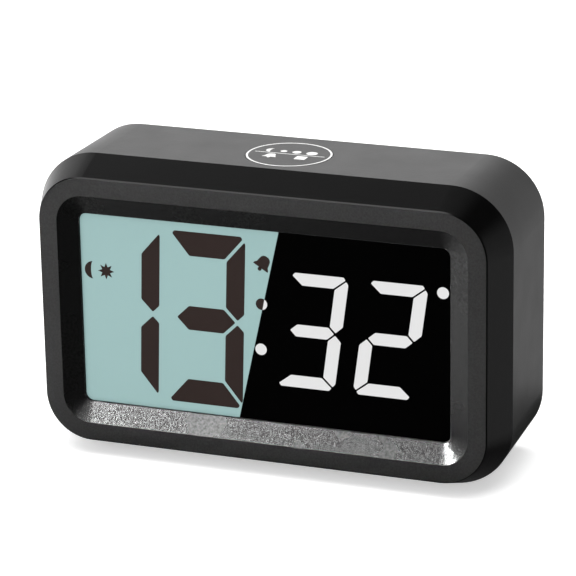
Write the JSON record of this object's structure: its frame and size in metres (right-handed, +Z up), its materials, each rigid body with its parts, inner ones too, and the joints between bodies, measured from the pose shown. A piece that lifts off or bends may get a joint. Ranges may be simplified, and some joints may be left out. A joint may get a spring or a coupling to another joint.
{
  "type": "digital alarm clock",
  "caption": "Free-standing digital alarm clock: wide display split on a slant, flared bezel, round snooze button on top, rear keys, switch and battery door.",
  "frame": {"origin": "middle of the footprint, on the surface that the clock stands on", "axes": "+X to the right and +Z up seen from the front, the display faces -Y"},
  "size_m": [0.13, 0.0428, 0.0813],
  "materials": {
    "bezel_plastic": "fine texture on the face, polished flared band and slope",
    "housing_plastic": "satin, fine texture",
    "button_plastic": "satin",
    "slider_plastic": "satin",
    "door_plastic": "satin, fine texture",
    "screw_steel": "zinc plated",
    "foot_rubber": "matte",
    "silicone_rubber": "matte, translucent grey",
    "display_glass": "clear",
    "polariser_light": "display seen through it, dark figures on grey green",
    "polariser_dark": "display seen through it, pale figures on black",
    "film": "thin film",
    "clear_acrylic": "clear acrylic",
    "lamp_resin": "white package",
    "frame_plastic": "white moulding",
    "board_laminate": "green solder resist",
    "sealing_resin": "cured black resin",
    "crystal_can": "plain metal",
    "cell_sleeve": "plain printed sleeve",
    "contact_metal": "nickel plated spring steel",
    "cable_film": "polyester film",
    "socket_plastic": "natural nylon"
  },
  "bodies": {
    "case": {"board_screws": "screw_steel", "cable_sockets": "socket_plastic", "case_screws": "screw_steel", "cell_1": "cell_sleeve", "cell_2": "cell_sleeve", "cell_3": "cell_sleeve", "contact_left_pair": "contact_metal", "contact_left_single": "contact_metal", "contact_right_pair": "contact_metal", "contact_right_single": "contact_metal", "contact_strip": "silicone_rubber", "display_frame": "frame_plastic", "dome_alarm": "silicone_rubber", "dome_down": "silicone_rubber", "dome_light": "silicone_rubber", "dome_time": "silicone_rubber", "dome_up": "silicone_rubber", "foot_front_left": "foot_rubber", "foot_front_right": "foot_rubber", "foot_rear_left": "foot_rubber", "foot_rear_right": "foot_rubber", "front_bezel": "bezel_plastic", "front_glass": "display_glass", "key_board": "board_laminate", "key_cable": "cable_film", "light_guide": "clear_acrylic", "main_board": "board_laminate", "piezo_sounder": "sealing_resin", "polariser_left": "polariser_light", "polariser_right": "polariser_dark", "rear_glass": "display_glass", "rear_housing": "housing_plastic", "rear_polariser": "film", "reflector_sheet": "film", "sealed_chip": "sealing_resin", "side_lamps": "lamp_resin", "slide_switch": "crystal_can", "snooze_board": "board_laminate", "snooze_cable": "cable_film", "snooze_dome": "silicone_rubber", "timing_crystal": "crystal_can"},
    "snooze": {"snooze_button": "button_plastic"},
    "door": {"battery_door": "door_plastic", "door_latch": "door_plastic"},
    "slider": {"alarm_slider": "slider_plastic", "switch_lever": "slider_plastic"},
    "time_button": {"button_time": "button_plastic"},
    "alarm_button": {"button_alarm": "button_plastic"},
    "up_button": {"button_up": "button_plastic"},
    "down_button": {"button_down": "button_plastic"},
    "light_button": {"button_light": "button_plastic"}
  },
  "joints": [
    {"name": "snooze_press", "type": "slide", "parent": "case", "child": "snooze", "axis": [0, 0, -1], "range_m": [0, 0.001], "stiffness_N_per_m": 900, "springref_m": -0.0006, "deforming": ["snooze_dome"]},
    {"name": "time_press", "type": "slide", "parent": "case", "child": "time_button", "axis": [0, -1, 0], "range_m": [0, 0.0008], "stiffness_N_per_m": 1000, "springref_m": -0.0005, "deforming": ["dome_time"]},
    {"name": "alarm_press", "type": "slide", "parent": "case", "child": "alarm_button", "axis": [0, -1, 0], "range_m": [0, 0.0008], "stiffness_N_per_m": 1000, "springref_m": -0.0005, "deforming": ["dome_alarm"]},
    {"name": "up_press", "type": "slide", "parent": "case", "child": "up_button", "axis": [0, -1, 0], "range_m": [0, 0.0008], "stiffness_N_per_m": 1000, "springref_m": -0.0005, "deforming": ["dome_up"]},
    {"name": "down_press", "type": "slide", "parent": "case", "child": "down_button", "axis": [0, -1, 0], "range_m": [0, 0.0008], "stiffness_N_per_m": 1000, "springref_m": -0.0005, "deforming": ["dome_down"]},
    {"name": "light_press", "type": "slide", "parent": "case", "child": "light_button", "axis": [0, -1, 0], "range_m": [0, 0.0008], "stiffness_N_per_m": 1000, "springref_m": -0.0005, "deforming": ["dome_light"]},
    {"name": "alarm_slide", "type": "slide", "parent": "case", "child": "slider", "axis": [1, 0, 0], "range_m": [0, 0.004]},
    {"name": "door_hinge", "type": "hinge", "parent": "case", "child": "door", "pos_m": [0, 0.02055, 0.0087], "axis": [-1, 0, 0], "range_deg": [0, 75], "deforming": ["door_latch"]}
  ]
}
